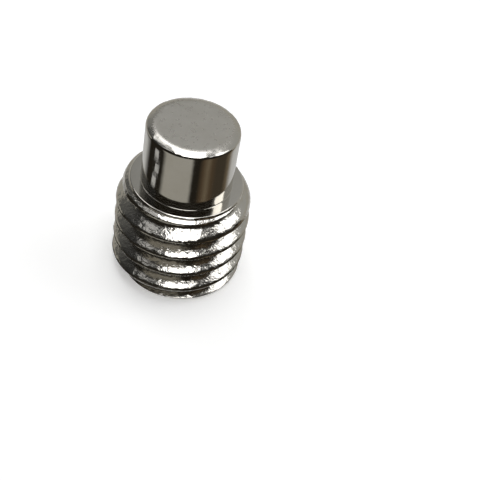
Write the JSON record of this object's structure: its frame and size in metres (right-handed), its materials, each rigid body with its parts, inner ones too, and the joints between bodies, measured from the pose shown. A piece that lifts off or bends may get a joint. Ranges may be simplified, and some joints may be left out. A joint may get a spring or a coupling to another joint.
{
  "type": "set screw",
  "caption": "Headless grub screw with a right-hand thread, a hexagon socket in one end and a plain cylindrical dog point on the other.",
  "frame": {"origin": "centre of the flat face at the socket end, on the axis of the screw", "axes": "+Z along the axis from the socket end to the tip of the dog; +X towards a corner of the hexagon socket"},
  "size_m": [0.006, 0.006, 0.008],
  "materials": {
    "nickel": "bright nickel plating on steel, slightly rough on the thread"
  },
  "bodies": {
    "root": {"set_screw": "nickel"}
  },
  "joints": []
}
